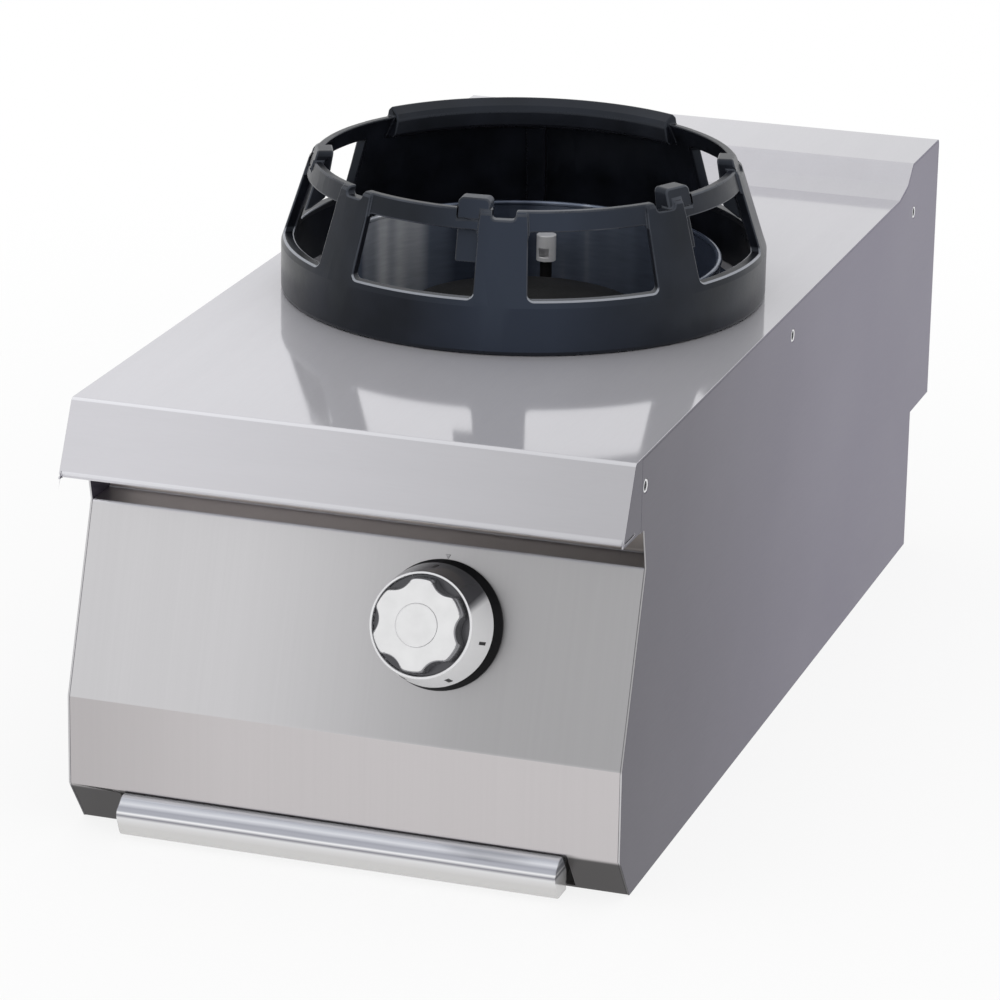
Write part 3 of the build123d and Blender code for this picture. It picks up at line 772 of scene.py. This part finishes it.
def addCamera():
    yaw, pitch, roll = (radians(camera[key]) for key in ("yaw", "pitch", "roll"))
    ahead = Vector((-sin(yaw) * cos(pitch), cos(yaw) * cos(pitch), -sin(pitch)))
    right = Vector((cos(yaw), sin(yaw), 0))
    up = right.cross(ahead)
    turnedRight = right * cos(roll) + up * sin(roll)
    turnedUp = up * cos(roll) - right * sin(roll)
    data = bpy.data.cameras.new("camera")
    data.lens = camera["lens"]
    data.sensor_width = camera["sensor"]
    data.clip_end = camera["reach"]
    eye = bpy.data.objects.new("camera", data)
    axes = Matrix((turnedRight, turnedUp, -ahead)).transposed().to_4x4()
    eye.matrix_world = Matrix.Translation(camera["place"]) @ axes
    scene.collection.objects.link(eye)
    scene.camera = eye


lampAim = (0, 0, 0.2)
lamps = {
    "overhead": {"at": (-0.3, -0.2, 3.2), "size": (4.0, 4.0), "watts": 12},
    "front": {"at": (-2.6, -3.6, 2.0), "size": (3.0, 2.4), "watts": 3},
}


def addLamp(name, spec):
    data = bpy.data.lights.new(name, "AREA")
    data.shape = "RECTANGLE"
    data.size, data.size_y = spec["size"]
    data.energy = spec["watts"]
    lamp = bpy.data.objects.new(name, data)
    lamp.location = spec["at"]
    lamp.rotation_euler = (Vector(lampAim) - lamp.location).to_track_quat("-Z", "Y").to_euler()
    scene.collection.objects.link(lamp)


studio = {"light": 0.85, "background": 1.0}


def seenDirectly(tree):
    # 1 where the camera, a gloss or a clear piece looks, 0 for soft light
    path = tree.nodes.new("ShaderNodeLightPath")
    seen = path.outputs["Is Camera Ray"]
    for ray in ("Is Glossy Ray", "Is Transmission Ray"):
        either = tree.nodes.new("ShaderNodeMath")
        either.operation = "MAXIMUM"
        tree.links.new(seen, either.inputs[0])
        tree.links.new(path.outputs[ray], either.inputs[1])
        seen = either.outputs[0]
    return seen


def addWorld():
    world = bpy.data.worlds.new("studio")
    world.use_nodes = True
    scene.world = world
    tree = world.node_tree
    light = tree.nodes["Background"]
    level = tree.nodes.new("ShaderNodeMapRange")
    level.inputs["To Min"].default_value = studio["light"]
    level.inputs["To Max"].default_value = studio["background"]
    tree.links.new(seenDirectly(tree), level.inputs["Value"])
    light.inputs["Color"].default_value = (1, 1, 1, 1)
    tree.links.new(level.outputs[0], light.inputs["Strength"])


floorSpec = {
    "size": 12, "drop": 0.0005, "colour": (0.95, 0.95, 0.95), "rough": 0.9, "fadeFrom": 0.6, "fadeTo": 1.5,
    "lift": 0.85,
}


def addFloor():
    # pale floor that keeps the shadow near the range and fades into the white background
    mesh = bpy.data.meshes.new("floor")
    shape = bmesh.new()
    bmesh.ops.create_grid(shape, x_segments=1, y_segments=1, size=floorSpec["size"])
    shape.to_mesh(mesh)
    shape.free()
    floor = bpy.data.objects.new("floor", mesh)
    floor.location.z = -floorSpec["drop"]
    scene.collection.objects.link(floor)
    f = Finish("floorPaint", Roughness=floorSpec["rough"], Specular_IOR_Level=0.0)
    f.set("Base Color", floorSpec["colour"])
    where = f.node("ShaderNodeTexCoord", None, None, "Object")
    away = f.node("ShaderNodeVectorMath", {"operation": "LENGTH"}, {0: where}, "Value")
    fade = f.node("ShaderNodeMapRange", {"interpolation_type": "SMOOTHSTEP"},
                  {"Value": away, "From Min": floorSpec["fadeFrom"], "From Max": floorSpec["fadeTo"]})
    clear = f.node("ShaderNodeBsdfTransparent")
    glow = f.node("ShaderNodeEmission", None, {"Color": (1, 1, 1), "Strength": 1.0})
    seen = Value(f, seenDirectly(f.tree)) * floorSpec["lift"]
    paint = f.node("ShaderNodeMixShader", None, {0: seen, 1: Value(f, f.shader.outputs[0]), 2: glow})
    both = f.node("ShaderNodeMixShader", None, {0: fade, 1: paint, 2: clear})
    f.tree.links.new(both.socket, f.tree.nodes["Material Output"].inputs["Surface"])
    mesh.materials.append(f.material)


addCamera()
for name, spec in lamps.items():
    addLamp(name, spec)
addWorld()
addFloor()
scene.view_settings.view_transform = "Standard"
print("camera, lamps and floor placed")
